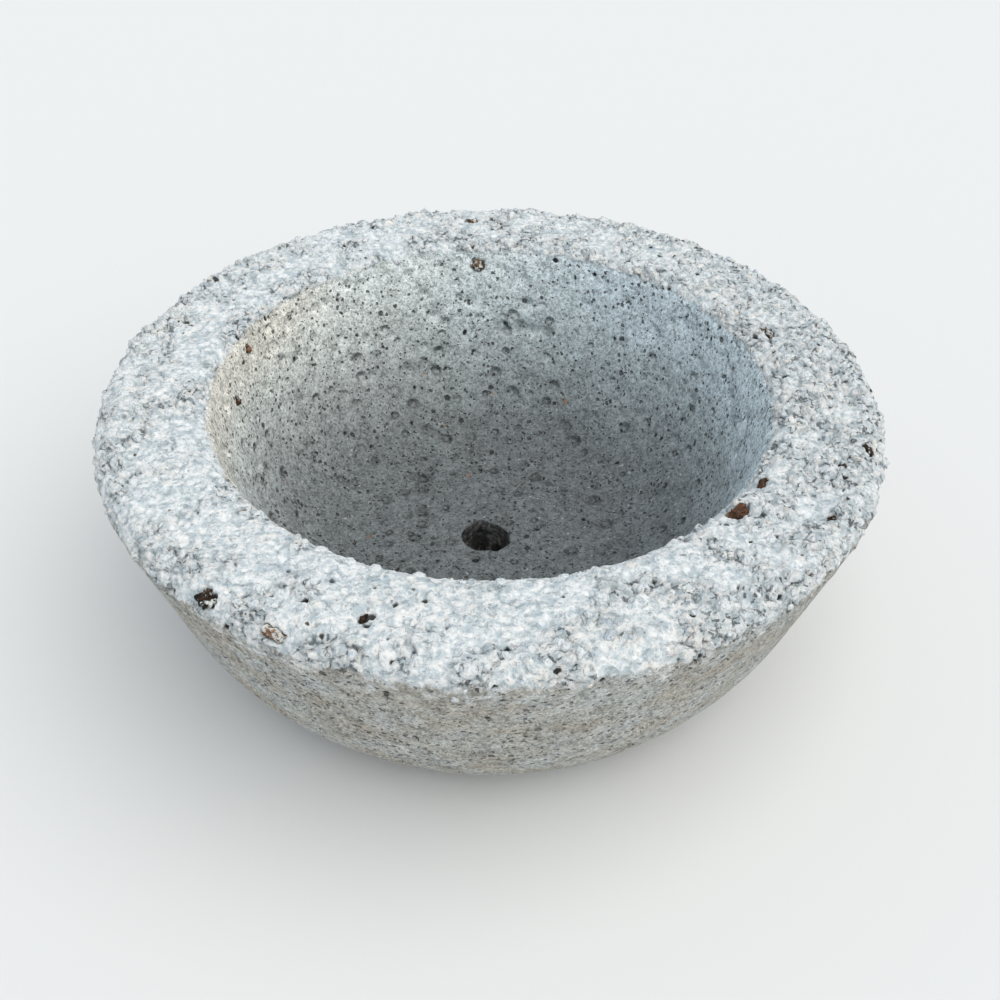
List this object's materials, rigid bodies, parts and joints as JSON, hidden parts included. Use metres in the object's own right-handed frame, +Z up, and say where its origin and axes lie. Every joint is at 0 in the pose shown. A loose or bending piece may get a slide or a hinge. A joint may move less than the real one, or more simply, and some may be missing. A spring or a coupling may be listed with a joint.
{
  "type": "hypertufa planting bowl",
  "caption": "Thick round hypertufa bowl with a broad rough rim, sloping sides, a flat foot and a drain hole, for planting in.",
  "frame": {"origin": "centre of the foot, on the surface that the bowl stands on", "axes": "+Z up along the bowl's axis, -Y towards the viewer"},
  "size_m": [0.3048, 0.3049, 0.1134],
  "materials": {
    "tufa": "rough cast",
    "perlite": "matt",
    "bark": "matt",
    "peat": "matt"
  },
  "bodies": {
    "root": {"bowl": "tufa", "perlite_grains": "perlite", "bark_chip_right_lip": "bark", "bark_sliver_right_lip": "bark", "bark_flake_front_left": "bark", "bark_splinter_back_rim": "bark", "bark_sliver_right_back": "bark", "bark_fleck_left_wall": "bark", "bark_fleck_left_middle": "bark", "peat_lump_front_left": "peat", "peat_lump_back_wall": "peat", "peat_lump_right_rim": "peat", "peat_lump_right_edge": "peat", "peat_crumb_right_front": "peat", "peat_crumb_front_rim": "peat"}
  },
  "joints": []
}
